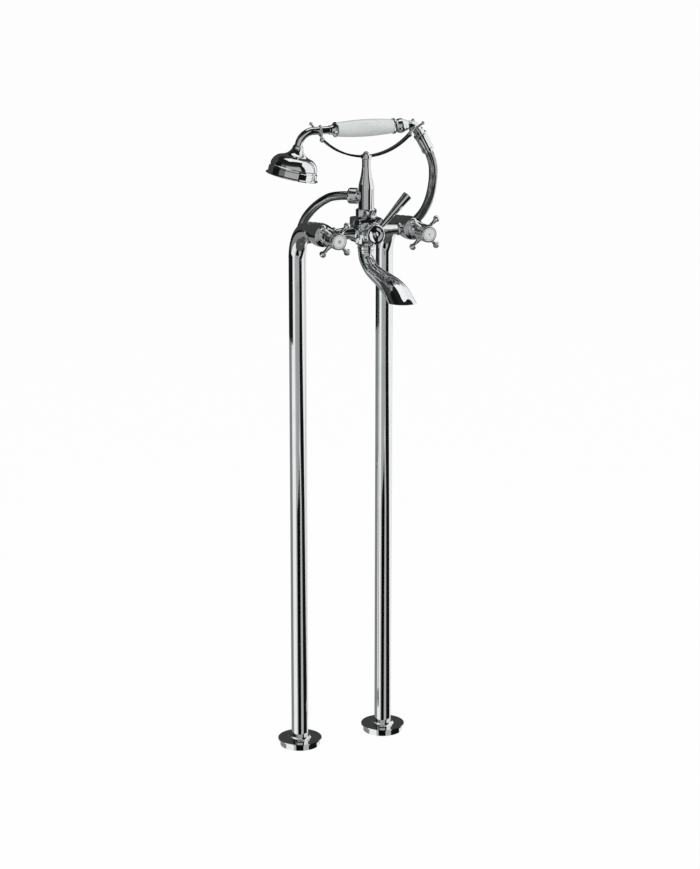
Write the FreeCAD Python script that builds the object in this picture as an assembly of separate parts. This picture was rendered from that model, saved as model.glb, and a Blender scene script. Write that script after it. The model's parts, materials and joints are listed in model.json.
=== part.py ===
"""Floor standing bath filler: two standpipes, a two-handle mixer, a lever diverter,
a swivel spout and a ceramic handset lying in a cradle on a column.

Millimetres. Origin on the floor, midway between the standpipes. +Z up, -Y towards the bath,
-X is the hot side and +X the cold side.
"""
import FreeCAD, Part
import math
import os

os.makedirs("parts", exist_ok=True)
Vec = FreeCAD.Vector

# ---------------------------------------------------------------- driving dimensions
running_gap = 0.05          # radial gap of a shaft that turns in a bore
seat_gap = 0.3              # gap between a moving piece and its fixed neighbour
slip_gap = 0.15             # gap of a cover that slides over a pipe

# standpipes and floor fixing
pipe_centres = 150.0        # across the two inlets of an exposed bath mixer
pipe_radius = 13.5
pipe_wall = 1.5
pipe_bend_radius = 50.0
valve_height = 857.0
leg_reach = 51.5            # from the standpipe's axis to the end of its level leg
plate_radius = 29.0
plate_thickness = 5.0
spigot_height = 26.0
supply_bore_radius = 9.3
fixing_circle_radius = 22.0
fixing_hole_radius = 2.6
fixing_count = 3
rose_rim_radius = 35.5
rose_skirt_radius = 32.0
rose_height = 11.6
rose_rim_height = 9.4
rose_wall = 1.6
rose_collar_radius = 17.2
rose_collar_height = 16.0
seal_height = 2.4
seal_depth = 1.4

# valves, measured forwards from the standpipe's axis
union_nut_flats = 27.0
union_nut_length = 12.0
union_seat_depth = 5.0
union_spigot_length = 5.5
union_spigot_gap = 0.25
washer_thickness = 2.0
chamber_start_radius = 14.3
chamber_radius = 17.9
chamber_end_radius = 16.6
chamber_middle = 87.0
chamber_end = 104.0
chamber_bore_radius = 9.0
inlet_bore_radius = 8.0
bonnet_flats = 26.6
bonnet_length = 9.0
bonnet_neck_radius = 10.9
bonnet_neck_length = 6.0
spindle_radius = 4.0
spindle_end = 147.0
mixer_reach = 91.0          # from the standpipes' axes forward to the arms and the column

# cross handles
handle_skirt_radius = 10.2
handle_radius = 13.0
handle_shoulder = 131.0
handle_end = 150.0
handle_arm_plane = 140.0
handle_arm_neck = 2.9
handle_arm_root = 3.7
handle_arm_end = 28.4
button_radius = 5.4
button_rim = 1.4
button_dome = 4.8
handle_arm_count = 4
bezel_radius = 12.6
bezel_lip = 2.0
bezel_end = 156.6
disc_thickness = 2.6
disc_sink = 0.4
disc_crown = 0.5
handle_screw_radius = 2.5
handle_screw_head = 4.6

# arms and centre body
arm_root_radius = 9.8
arm_tip_radius = 7.3
arm_bore_radius = 5.0
arm_end = 54.6              # from the centre line to the joint with the valve chamber
ring_radius = 10.0
ring_width = 4.4
body_half = 20.0
body_top = 878.6
body_bottom = 842.0
body_chamfer = 3.2
body_edge_chamfer = 1.2
body_neck_radius = 13.6
body_neck_end = 835.6

# diverter
boss_radius = 17.4
boss_length = 3.4
hub_radius = 15.6
hub_length = 11.6
hub_rim_round = 2.6
dish_radius = 10.4
dish_depth = 1.6
button_cap_radius = 4.2
button_cap_edge = 0.6
button_cap_height = 1.3
lever_root_radius = 3.8
lever_tip_radius = 7.6
lever_reach = 79.0
lever_angle = 45.0
lever_edge = 0.9
diverter_bore_radius = 9.0
diverter_spindle_radius = 4.5

# column, cradle and hose outlet
column_nut_flats = 28.6
column_nut_height = 13.8
column_radius = 12.0
column_shoulder_radius = 11.0
column_shoulder = 929.0
column_waist_radius = 8.4
column_waist = 944.0
column_neck_radius = 6.6
column_neck = 956.0
column_top = 970.4
column_tail_radius = 8.2
column_bore_radius = 4.6
outlet_height = 910.8
outlet_turn = 40.0          # outlet's heading, turned from -X towards the back
outlet_thread_radius = 8.4
outlet_nut_radius = 12.2
outlet_nut_start = 12.6
outlet_nut_length = 15.4
outlet_nut_round = 3.0
outlet_nut_socket = 5.0
outlet_thread_length = 8.0
cradle_span = 146.0
cradle_rise = 29.0
cradle_width = 9.0
cradle_thickness = 3.0
cradle_seat_radius = 8.0
knuckle_radius = 4.0
fork_wire_radius = 1.7
fork_stem_radius = 2.3
fork_leans = (62.0, 47.0)   # fork's plane above the horizontal, at the neck and at the tail
fork_open_angle = 55.0
fork_half_width = 17.0
fork_ball_radius = 2.7
cap_nut_radius = 5.2
cap_nut_edge = 1.6
cap_nut_height = 3.6
stud_radius = 3.0

# spout
collar_radius = 13.3
collar_height = 5.6
spout_bead_radius = 12.7
spout_bead_height = 3.6
spigot_radius = 8.0
spout_spigot_length = 18.0
spout_bend_radius = 21.0
spout_root_radius = 12.3
spout_root_taper = 0.011     # per degree of the bend
spout_wall = 7.2            # cast metal left around the waterway
spout_seal_groove = 1.3
mouth_height = 768.6
mouth_bore_radius = 14.0
mouth_bore_depth = 9.0
aerator_recess = 2.2
nose_top = (-216.4, 796.5)  # Y and Z of the flat nose's upper end, its foot and the mouth's back
nose_foot = (-242.0, 771.0)
mouth_back = (-187.0, 767.0)
trim_depth = 60.0

# handset
handset_height = 1015.0
handset_roll = 4.0          # the handset leans towards the bath in its cradle
handle_front = -50.0
handle_back = 43.5
ceramic_end_radius = 10.5
ceramic_middle_radius = 13.0
core_radius = 5.2
core_bore_radius = 3.6
front_ferrule_length = 12.0
front_ferrule_radius = 11.6
neck_radius = 5.9
neck_bore_radius = 3.4
neck_bend_start = -87.5
neck_bend_radius = 24.0
spray_tilt = 12.2
rose_head_drop = 50.0       # from the neck's lower end to the rim, along the spray's axis
head_rim_radius = 39.8
head_band_radius = 37.0
head_groove_radius = 35.2
head_rim_thickness = 1.5
head_band_height = 11.0
head_groove_height = 14.2
head_wall = 1.6
plate_hole_radius = 0.8
plate_hole_rings = ((7.0, 6), (14.0, 12), (21.0, 20), (28.0, 28))
spray_plate_thickness = 1.8
rear_ferrule_end = 68.0
rear_ferrule_radius = 11.7
tail_radius = 6.6
tail_bend_start = 74.0
tail_bend_radius = 14.0
tail_drop_angle = 59.0
tail_socket_radius = 8.2
tail_socket_length = 8.5
tail_thread_radius = 7.2
tail_thread_length = 8.0
hose_nut_top_radius = 10.6
hose_nut_end_radius = 9.1
hose_nut_length = 32.0
hose_nut_socket = 14.0

# hose
hose_radius = 6.75
hose_bore_radius = 4.7
hose_corner_share = 0.45    # each bend takes this share of the shorter run beside it
hose_lead_out = 22.2        # straight run ahead of the outlet's nut
hose_lead_in = 15.0         # straight run below the handset's nut
tie_height = 755.0
tie_width = 8.0
tie_thickness = 1.3
tie_slack = 0.3

half_centres = pipe_centres / 2
mixer_y = -mixer_reach
handset_axis_z = handset_height



# ---------------------------------------------------------------- construction helpers
def placed(shape, origin, axis):
    """Carries a shape built about Z onto an axis through origin."""
    moved = shape.copy()
    turn = FreeCAD.Rotation(Vec(0, 0, 1), Vec(*axis))
    moved.Placement = FreeCAD.Placement(Vec(*origin), turn)
    return moved


def turned(outline, origin=(0, 0, 0), axis=(0, 0, 1)):
    """Revolves an outline of (radius, height) points. A step of two points is an arc: through, to."""
    first = Vec(outline[0][0], 0, outline[0][1])
    last = first
    edges = []
    for step in outline[1:] + [outline[0]]:
        if isinstance(step[0], tuple):
            through = Vec(step[0][0], 0, step[0][1])
            end = Vec(step[1][0], 0, step[1][1])
            edges.append(Part.Arc(last, through, end).toShape())
        else:
            end = Vec(step[0], 0, step[1])
            edges.append(Part.makeLine(last, end))
        last = end
    face = Part.Face(Part.Wire(edges))
    return placed(face.revolve(Vec(0, 0, 0), Vec(0, 0, 1), 360), origin, axis)


def crown(radius, start, rise):
    """Arc step of a round dome that springs at a radius and meets the axis."""
    sphere = (radius ** 2 + rise ** 2) / (2 * rise)
    centre = start + rise - sphere
    half = math.asin(radius / sphere) / 2
    if rise > radius:
        half = (math.pi - math.asin(radius / sphere)) / 2
    return ((sphere * math.sin(half), centre + sphere * math.cos(half)), (0, start + rise))


def cylinder(radius, start, end, origin=(0, 0, 0), axis=(0, 0, 1)):
    """Solid rod about an axis, from one height along it to another."""
    rod = Part.makeCylinder(radius, end - start, Vec(0, 0, start))
    return placed(rod, origin, axis)


def ring(outer, inner, start, end, origin=(0, 0, 0), axis=(0, 0, 1)):
    """Round sleeve about an axis."""
    return turned([(inner, start), (outer, start), (outer, end), (inner, end)], origin, axis)


def hexagon(flats, start, end, bore, origin, axis, chamfer=1.2, turn=0.0):
    """Hexagon nut with chamfered corners, across the given flats."""
    corner = flats / math.sqrt(3)
    points = []
    for n in range(7):
        angle = math.radians(60 * n + turn)
        points.append(Vec(corner * math.cos(angle), corner * math.sin(angle), start))
    prism = Part.Face(Part.makePolygon(points)).extrude(Vec(0, 0, end - start))
    edge = corner - flats / 2 + chamfer
    slope = edge * math.tan(math.radians(30))
    envelope = turned([
        (0, start), (corner - edge, start), (corner, start + slope),
        (corner, end - slope), (corner - edge, end), (0, end),
    ])
    nut = prism.common(envelope)
    if bore:
        nut = nut.cut(Part.makeCylinder(bore, end - start, Vec(0, 0, start)))
    return placed(nut, origin, axis)


def circle_wire(centre, axis, radius):
    return Part.Wire(Part.Circle(Vec(*centre), Vec(*axis), radius).toShape())


def swept(path, radius):
    """Round bar along a wire of lines and tangent arcs."""
    start = path.OrderedVertexes[0].Point
    first = path.OrderedEdges[0]
    axis = first.tangentAt(first.FirstParameter)
    if (first.valueAt(first.FirstParameter) - start).Length > 1e-6:
        axis = first.tangentAt(first.LastParameter)
    profile = Part.Wire(Part.Circle(start, axis, radius).toShape())
    return path.makePipeShell([profile], True, False)


def lofted(sections):
    """Smooth bar through round sections of (centre, axis, radius)."""
    wires = [circle_wire(centre, axis, radius) for centre, axis, radius in sections]
    return Part.makeLoft(wires, True, False)


def joined(shapes):
    whole = shapes[0].multiFuse(shapes[1:])
    return whole.removeSplitter()


def write(name, shape, count=1):
    """Writes one piece, after checking that it is sound and has the solids it should."""
    solids = shape.Solids
    if not shape.isValid() or len(solids) != count or any(solid.Volume <= 0 for solid in solids):
        raise ValueError(name + " is not sound")
    kept = solids[0] if count == 1 else Part.makeCompound(solids)
    kept.exportStep("parts/" + name + ".step")
    print(name, count, round(kept.Volume))


# ---------------------------------------------------------------- floor and standpipes
def base_plate(x):
    """Round plate screwed to the floor, with a hollow spigot that holds the standpipe."""
    spigot_radius_out = pipe_radius - pipe_wall - running_gap
    top = plate_thickness + spigot_height
    plate = turned([
        (supply_bore_radius, 0), (plate_radius, 0), (plate_radius, plate_thickness),
        (spigot_radius_out, plate_thickness), (spigot_radius_out, top), (supply_bore_radius, top),
    ], (x, 0, 0))
    holes = []
    for n in range(fixing_count):
        angle = math.radians(90 + 360 * n / fixing_count)
        at = (x + fixing_circle_radius * math.cos(angle), fixing_circle_radius * math.sin(angle), 0)
        holes.append(cylinder(fixing_hole_radius, 0, plate_thickness, at))
    return plate.cut(Part.makeCompound(holes))


def floor_rose(x):
    """Thin cover over the plate: skirt, flared rim, dished top and a collar around the pipe."""
    bore = pipe_radius + slip_gap
    inner = rose_skirt_radius - rose_wall
    roof = rose_height - rose_wall
    seal_top = rose_collar_height - rose_wall
    return turned([
        (inner, 0), (rose_skirt_radius, 0), (rose_skirt_radius, rose_rim_height),
        (rose_rim_radius, rose_rim_height + 0.5), (rose_rim_radius, rose_height),
        (rose_collar_radius + 2.4, rose_height),
        ((rose_collar_radius + 0.5, rose_height + 0.7), (rose_collar_radius - 0.4, rose_height + 2.2)),
        (rose_collar_radius - 0.9, rose_collar_height),
        (bore, rose_collar_height), (bore, seal_top),
        (bore + seal_depth, seal_top), (bore + seal_depth, seal_top - seal_height),
        (bore, seal_top - seal_height), (bore, roof), (inner, roof),
    ], (x, 0, 0))


def rose_seal(x):
    """Rubber ring in the collar's groove, which grips the pipe."""
    top = rose_collar_height - rose_wall
    return ring(pipe_radius + slip_gap + seal_depth, pipe_radius, top - seal_height, top, (x, 0, 0))


def pipe_path(x, bottom, end):
    """Centre line: up, round the bend and level towards the bath."""
    knee = valve_height - pipe_bend_radius
    slant = pipe_bend_radius * math.sqrt(0.5)
    middle = Vec(x, slant - pipe_bend_radius, knee + slant)
    edges = [Part.makeLine(Vec(x, 0, bottom), Vec(x, 0, knee))]
    arc_end = Vec(x, -pipe_bend_radius, valve_height)
    edges.append(Part.Arc(Vec(x, 0, knee), middle, arc_end).toShape())
    edges.append(Part.makeLine(arc_end, Vec(x, -end, valve_height)))
    return Part.Wire(edges)


def standpipe(x):
    """Bent tube whose front end stands inside the union nut."""
    path = pipe_path(x, plate_thickness, leg_reach)
    return swept(path, pipe_radius).cut(swept(path, pipe_radius - pipe_wall))


# ---------------------------------------------------------------- valves
def union_nut(x):
    """Hexagon union with a spigot in the pipe's end and a socket for the valve chamber."""
    at = (x, 0, valve_height)
    nut = hexagon(union_nut_flats, leg_reach, union_end, 0, at, (0, -1, 0))
    back = leg_reach - union_spigot_length
    spigot = cylinder(pipe_radius - pipe_wall - union_spigot_gap, back, leg_reach, at, (0, -1, 0))
    bore = cylinder(inlet_bore_radius, back, union_seat, at, (0, -1, 0))
    socket = cylinder(chamber_inlet_radius, union_seat, union_end, at, (0, -1, 0))
    return joined([nut, spigot]).cut(Part.makeCompound([bore, socket]))


def union_washer(x):
    start = union_seat
    return ring(chamber_inlet_radius, inlet_bore_radius, start, start + washer_thickness,
                (x, 0, valve_height), (0, -1, 0))


def valve_chamber(x, side):
    """Round chamber about the pipe's axis, with a spigot towards the arm."""
    start = union_seat + washer_thickness
    shell = turned([
        (0, start), (chamber_inlet_radius, start), (chamber_inlet_radius, union_end),
        (chamber_start_radius, union_end), (chamber_start_radius + 0.3, union_end + 8),
        (chamber_radius - 1.2, chamber_middle - 11),
        ((chamber_radius, chamber_middle), (chamber_end_radius, chamber_end)),
        (0, chamber_end),
    ], (x, 0, valve_height), (0, -1, 0))
    length = abs(x) - arm_end
    branch = turned([
        (0, 0), (arm_tip_radius + 1.6, 0), (arm_tip_radius + 1.6, length - chamber_radius + 4),
        (arm_tip_radius, length - ring_width / 2), (arm_tip_radius, length), (0, length),
    ], (x, mixer_y, valve_height), (-side, 0, 0))
    inlet = cylinder(inlet_bore_radius, start, chamber_seat, (x, 0, valve_height), (0, -1, 0))
    seat = cylinder(chamber_bore_radius, chamber_seat, chamber_end, (x, 0, valve_height), (0, -1, 0))
    outlet = cylinder(arm_bore_radius, 0, length, (x, mixer_y, valve_height), (-side, 0, 0))
    return joined([shell, branch]).cut(Part.makeCompound([inlet, seat, outlet]))


def bonnet(x):
    """Hexagon bonnet and neck that hold the cartridge in the chamber."""
    at = (x, 0, valve_height)
    flange = hexagon(bonnet_flats, chamber_end, bonnet_face, 0, at, (0, -1, 0), 1.0, 30)
    neck = cylinder(bonnet_neck_radius, bonnet_face, bonnet_end, at, (0, -1, 0))
    bore = cylinder(cartridge_neck_radius, chamber_end, bonnet_end, at, (0, -1, 0))
    return joined([flange, neck]).cut(bore)


def cartridge(x):
    """Quarter-turn ceramic cartridge, seated in the chamber under the bonnet."""
    at = (x, 0, valve_height)
    return turned([
        (spindle_radius + running_gap, cartridge_start + 3), (spindle_radius + running_gap, bonnet_end - 1),
        (cartridge_neck_radius, bonnet_end - 1), (cartridge_neck_radius, chamber_end),
        (chamber_bore_radius, chamber_end), (chamber_bore_radius, cartridge_start),
        (3.0, cartridge_start), (3.0, cartridge_start + 3),
    ], at, (0, -1, 0))


def spindle(x):
    """Turned rod from the cartridge to the handle's boss."""
    at = (x, 0, valve_height)
    rod = cylinder(spindle_radius, cartridge_start + 3 + seat_gap, spindle_end, at, (0, -1, 0))
    return rod.cut(cylinder(handle_screw_radius, spindle_end - 9, spindle_end, at, (0, -1, 0)))


# ---------------------------------------------------------------- cross handles
def cross_handle(x):
    """Hub with a flared skirt and four waisted arms that end in domed buttons."""
    at = (x, 0, valve_height)
    skirt = bonnet_end + seat_gap
    hub = turned([
        (0, skirt), (handle_skirt_radius + 0.9, skirt), (handle_skirt_radius, skirt + 3),
        ((handle_skirt_radius + 0.5, handle_shoulder - 4.5), (handle_radius - 0.6, handle_shoulder)),
        (handle_radius, handle_shoulder + 1.2), (handle_radius, handle_end), (0, handle_end),
    ], at, (0, -1, 0))
    waist = (handle_radius + handle_arm_end - button_rim) / 2
    arm = turned([
        (0, handle_radius - 5), (handle_arm_root, handle_radius - 5), (handle_arm_root, handle_radius + 0.6),
        ((handle_arm_neck, waist - 1.5), (handle_arm_neck + 0.6, handle_arm_end - button_rim - 1.8)),
        (button_radius, handle_arm_end - button_rim), (button_radius, handle_arm_end),
        crown(button_radius, handle_arm_end, button_dome),
    ])
    arms = []
    for n in range(handle_arm_count):
        angle = math.radians(45 + 360 * n / handle_arm_count)
        axis = (math.cos(angle), 0, math.sin(angle))
        arms.append(placed(arm, (x, -handle_arm_plane, valve_height), axis))
    socket = cylinder(spindle_radius, skirt, spindle_end, at, (0, -1, 0))
    clearance = cylinder(handle_screw_radius, spindle_end, handle_end, at, (0, -1, 0))
    return joined([hub] + arms).cut(Part.makeCompound([socket, clearance]))


def bezel(x):
    """Ring on the hub's face that frames the ceramic disc."""
    at = (x, 0, valve_height)
    floor = bezel_end - disc_thickness - disc_sink
    inner = bezel_radius - bezel_lip
    return turned([
        (handle_screw_head + 1.4, handle_end), (bezel_radius, handle_end), (bezel_radius, bezel_end - 1.3),
        ((bezel_radius - 0.4, bezel_end - 0.4), (bezel_radius - 1.2, bezel_end)),
        (inner, bezel_end), (inner, floor), (handle_screw_head + 1.4, floor),
    ], at, (0, -1, 0))


def index_disc(x):
    """Slightly crowned ceramic disc set into the bezel."""
    at = (x, 0, valve_height)
    rim = bezel_end - disc_sink
    radius = bezel_radius - bezel_lip
    return turned([
        (0, rim - disc_thickness), (radius, rim - disc_thickness), (radius, rim),
        crown(radius, rim, disc_crown),
    ], at, (0, -1, 0))


def handle_screw(x):
    """Screw through the hub into the spindle, under the disc."""
    at = (x, 0, valve_height)
    return turned([
        (0, spindle_end - 8), (handle_screw_radius, spindle_end - 8), (handle_screw_radius, handle_end),
        (handle_screw_head, handle_end), (handle_screw_head, handle_end + 2.4), (0, handle_end + 2.4),
    ], at, (0, -1, 0))


# ---------------------------------------------------------------- arms and centre body
def arm(side):
    """Tapered tube from the centre body to the valve chamber."""
    straight = arm_end - ring_width
    at = (0, mixer_y, valve_height)
    return turned([
        (arm_bore_radius, body_half), (arm_root_radius + 1.4, body_half),
        (arm_root_radius + 1.4, body_half + 1.6), (arm_root_radius, body_half + 2.8),
        (arm_tip_radius, straight), (arm_tip_radius, arm_end), (arm_bore_radius, arm_end),
    ], at, (side, 0, 0))


def arm_ring(side):
    """Round coupling over the joint of arm and chamber."""
    start = arm_end - ring_width / 2
    return turned([
        (arm_tip_radius, start), (ring_radius - 0.7, start), (ring_radius, start + 0.7),
        (ring_radius, start + ring_width - 0.7), (ring_radius - 0.7, start + ring_width),
        (arm_tip_radius, start + ring_width),
    ], (0, mixer_y, valve_height), (side, 0, 0))


def centre_body():
    """Square block with cut corners on a round neck, bored for the arms, spout, column and diverter."""
    half = body_half
    cut = body_chamfer
    corners = [(half, -half + cut), (half, half - cut), (half - cut, half), (-half + cut, half),
               (-half, half - cut), (-half, -half + cut), (-half + cut, -half), (half - cut, -half)]
    points = [Vec(px, mixer_y + py, body_bottom) for px, py in corners + corners[:1]]
    block = Part.Face(Part.makePolygon(points)).extrude(Vec(0, 0, body_top - body_bottom))
    level = [edge for edge in block.Edges if abs(edge.Vertexes[0].Z - edge.Vertexes[-1].Z) < 1e-6]
    block = block.makeChamfer(body_edge_chamfer, [e for e in level if e.Vertexes[0].Z > body_bottom + 1])
    neck = turned([
        (0, body_neck_end), (body_neck_radius, body_neck_end), (body_half - 0.8, body_bottom),
        (0, body_bottom),
    ], (0, mixer_y, 0))
    whole = joined([block, neck])
    cross = cylinder(arm_bore_radius, -body_half, body_half, (0, mixer_y, valve_height), (1, 0, 0))
    below = cylinder(spigot_radius + running_gap, body_neck_end, spout_spigot_top + seat_gap, (0, mixer_y, 0))
    riser = cylinder(column_bore_radius, spout_spigot_top, column_tail_end, (0, mixer_y, 0))
    above = cylinder(column_tail_radius, column_tail_end, body_top, (0, mixer_y, 0))
    front = cylinder(diverter_bore_radius, 0, body_half, (0, mixer_y, valve_height), (0, -1, 0))
    return whole.cut(Part.makeCompound([cross, below, riser, above, front]))


# ---------------------------------------------------------------- diverter
def diverter_boss():
    """Fixed round boss on the front of the body."""
    return turned([
        (diverter_spindle_radius + running_gap, body_half),
        (boss_radius, body_half), (boss_radius, body_half + boss_length - 1.0),
        (boss_radius - 1.0, body_half + boss_length),
        (diverter_spindle_radius + running_gap, body_half + boss_length),
    ], (0, mixer_y, valve_height), (0, -1, 0))


def diverter_cartridge():
    """Two-way cartridge in the body's front bore."""
    return turned([
        (0, arm_bore_radius + 1), (diverter_bore_radius, arm_bore_radius + 1),
        (diverter_bore_radius, body_half), (diverter_spindle_radius + running_gap, body_half),
        (diverter_spindle_radius + running_gap, body_half - 8), (0, body_half - 8),
    ], (0, mixer_y, valve_height), (0, -1, 0))


def diverter_spindle():
    return cylinder(diverter_spindle_radius, body_half - 8 + seat_gap, hub_start + hub_length - 5,
                    (0, mixer_y, valve_height), (0, -1, 0))


def diverter_hub():
    """Turning hub with a rounded rim, a dished face and a socket for the lever."""
    end = hub_start + hub_length
    at = (0, mixer_y, valve_height)
    hub = turned([
        (0, hub_start), (hub_radius - 0.8, hub_start), (hub_radius, hub_start + 0.8),
        (hub_radius, end - hub_rim_round),
        ((hub_radius - hub_rim_round * 0.3, end - hub_rim_round * 0.3), (hub_radius - hub_rim_round, end)),
        (dish_radius + 0.8, end),
        ((dish_radius * 0.7, end - dish_depth * 0.8), (button_cap_radius + 0.6, end - dish_depth)),
        (0, end - dish_depth),
    ], at, (0, -1, 0))
    socket = cylinder(diverter_spindle_radius, hub_start, end - 5, at, (0, -1, 0))
    lever_hole = placed(lever_rod(), lever_origin, lever_axis)
    return hub.cut(Part.makeCompound([socket, lever_hole]))


def lever_rod():
    """Straight taper that widens to a flat round end."""
    return turned([
        (0, lever_start), (lever_root_radius, lever_start), (lever_root_radius, hub_radius + 2),
        (lever_tip_radius, lever_reach - lever_edge),
        ((lever_tip_radius - lever_edge * 0.3, lever_reach - lever_edge * 0.3),
         (lever_tip_radius - lever_edge, lever_reach)),
        (0, lever_reach),
    ])


def diverter_button():
    """Domed cover on the hub's screw."""
    start = hub_start + hub_length - dish_depth
    return turned([
        (0, start), (button_cap_radius, start), (button_cap_radius, start + button_cap_edge),
        crown(button_cap_radius, start + button_cap_edge, button_cap_height),
    ], (0, mixer_y, valve_height), (0, -1, 0))


# ---------------------------------------------------------------- column and cradle
def column():
    """Hollow column: plain below, waisted above, with a threaded hose outlet at its side."""
    at = (0, mixer_y, 0)
    outer = turned([
        (0, column_tail_end), (column_tail_radius, column_tail_end), (column_tail_radius, column_foot),
        (column_radius, column_foot), (column_radius, column_shoulder - 8),
        ((column_shoulder_radius + 0.45, column_shoulder),
         (column_shoulder_radius - 0.9, column_shoulder + 6)),
        ((column_waist_radius - 0.1, column_waist - 0.6), (column_neck_radius + 0.5, column_neck - 4)),
        (column_neck_radius, column_neck), (column_neck_radius, column_top - 3),
        (cradle_seat_radius, column_top - 1.5), (cradle_seat_radius, column_top),
        (stud_radius, column_top), (stud_radius, stud_top), (0, stud_top),
    ], at)
    outlet_end = outlet_nut_start + outlet_thread_length
    thread = cylinder(outlet_thread_radius, 0, outlet_end, outlet_at, outlet_axis)
    bore = cylinder(column_bore_radius, column_tail_end, outlet_height + column_bore_radius, at)
    side_bore = cylinder(column_bore_radius, 0, outlet_end, outlet_at, outlet_axis)
    return joined([outer, thread]).cut(Part.makeCompound([bore, side_bore]))


def column_nut():
    return hexagon(column_nut_flats, body_top, column_foot, column_tail_radius, (0, mixer_y, 0), (0, 0, 1),
                   1.2, column_nut_turn)


def outlet_nut():
    """Round nut that holds the hose on the outlet's thread."""
    start = outlet_nut_start
    end = start + outlet_nut_length
    seat = start + outlet_thread_length
    hose_start = end - outlet_nut_socket
    round_ = outlet_nut_round
    return turned([
        (outlet_thread_radius, start), (outlet_nut_radius - 1, start), (outlet_nut_radius, start + 1),
        (outlet_nut_radius, end - round_),
        ((outlet_nut_radius - round_ * 0.3, end - round_ * 0.3), (outlet_nut_radius - round_, end)),
        (hose_radius, end), (hose_radius, hose_start), (hose_bore_radius, hose_start),
        (hose_bore_radius, seat), (outlet_thread_radius, seat),
    ], outlet_at, outlet_axis)


def cradle_bar():
    """Curved flat strip on the column, with a round seat at its middle and a knuckle at each end."""
    half_span = cradle_span / 2
    outer = (half_span ** 2 + cradle_rise ** 2) / (2 * cradle_rise)
    inner = outer - cradle_thickness
    centre = column_top + outer
    reach = math.asin(half_span / outer)
    edges = []
    ends = []
    for radius in (outer, inner):
        left = Vec(-radius * math.sin(reach), 0, centre - radius * math.cos(reach))
        right = Vec(radius * math.sin(reach), 0, left.z)
        edges.append(Part.Arc(left, Vec(0, 0, centre - radius), right).toShape())
        ends.append((left, right))
    edges.append(Part.makeLine(ends[0][0], ends[1][0]))
    edges.append(Part.makeLine(ends[0][1], ends[1][1]))
    face = Part.Face(Part.Wire(Part.__sortEdges__(edges)))
    strip = face.extrude(Vec(0, cradle_width, 0))
    strip.translate(Vec(0, mixer_y - cradle_width / 2, 0))
    boss = cylinder(cradle_seat_radius, column_top, cradle_boss_top, (0, mixer_y, 0))
    knuckles = []
    for side in (-1, 1):
        knuckles.append(Part.makeSphere(knuckle_radius, Vec(side * half_span, mixer_y, knuckle_height)))
    whole = joined([strip, boss] + knuckles)
    return whole.cut(cylinder(stud_radius, column_top, cradle_boss_top, (0, mixer_y, 0)))


def fork(side):
    """Open U of round wire with ball tips, leaning outwards from the knuckle."""
    at_neck = side < 0
    lean = math.radians(fork_leans[0] if at_neck else fork_leans[1])
    held = neck_radius if at_neck else tail_radius
    root_z = handset_height - held - fork_wire_radius - seat_gap
    opening = math.radians(fork_open_angle)
    bend = held + fork_wire_radius + seat_gap

    def point(across, up):
        return Vec(side * (fork_root_x + up * math.cos(lean)), mixer_y + across, root_z + up * math.sin(lean))

    bend_across = bend * math.sin(opening)
    bend_up = bend * (1 - math.cos(opening))
    tip_up = bend_up + (fork_half_width - bend_across) * math.tan(opening)
    path = Part.Wire([
        Part.makeLine(point(-fork_half_width, tip_up), point(-bend_across, bend_up)),
        Part.Arc(point(-bend_across, bend_up), point(0, 0), point(bend_across, bend_up)).toShape(),
        Part.makeLine(point(bend_across, bend_up), point(fork_half_width, tip_up)),
    ])
    knuckle = Vec(side * cradle_span / 2, mixer_y, knuckle_height)
    stem_axis = point(0, 0) - knuckle
    pieces = [swept(path, fork_wire_radius)]
    for hand in (-1, 1):
        tip = point(hand * fork_half_width, tip_up)
        along_wire = tip - point(hand * bend_across, bend_up)
        pieces.append(Part.makeSphere(fork_ball_radius, tip, along_wire))
    pieces.append(Part.makeCylinder(fork_stem_radius, stem_axis.Length, knuckle, stem_axis))
    return joined(pieces).cut(Part.makeSphere(knuckle_radius, knuckle))


def cradle_cap_nut():
    """Small domed nut that holds the cradle on the column's stud."""
    base = cradle_boss_top
    nut = turned([
        (0, base), (cap_nut_radius, base), (cap_nut_radius, base + cap_nut_edge),
        crown(cap_nut_radius, base + cap_nut_edge, cap_nut_height),
    ], (0, mixer_y, 0))
    return nut.cut(cylinder(stud_radius, base, stud_top, (0, mixer_y, 0)))


# ---------------------------------------------------------------- spout
def spout_collar():
    """Threaded ring under the body that carries the spout."""
    top = body_neck_end
    return turned([
        (spigot_radius + running_gap, top - collar_height), (collar_radius - 0.8, top - collar_height),
        (collar_radius, top - collar_height + 0.8), (collar_radius, top - 1.6),
        (collar_radius - 0.8, top - 0.8), (collar_radius - 0.8, top), (spigot_radius + running_gap, top),
    ], (0, mixer_y, 0))


def spout_sections(shrink):
    """Round sections down and round the bend, then along the widening horn to the mouth."""
    root = spout_top - spout_bead_height
    centre_y = mixer_y - spout_bend_radius
    sections = []
    for degrees in (0, 18, 36, 54):
        angle = math.radians(degrees)
        at = (0, centre_y + spout_bend_radius * math.cos(angle), root - spout_bend_radius * math.sin(angle))
        axis = (0, -math.sin(angle), -math.cos(angle))
        sections.append((at, axis, spout_root_radius - spout_root_taper * degrees - shrink))
    for y, z, degrees, radius in horn_stations:
        angle = math.radians(degrees)
        sections.append(((0, y, z), (0, -math.cos(angle), -math.sin(angle)), radius - shrink))
    return sections


def seal_rings():
    """One ring at each seal level, as large as its groove."""
    floor = spigot_radius - spout_seal_groove
    rings = []
    for low in seal_levels:
        rings.append(ring(spigot_radius, floor, low, low + seal_height, (0, mixer_y, 0)))
    return rings


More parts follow.
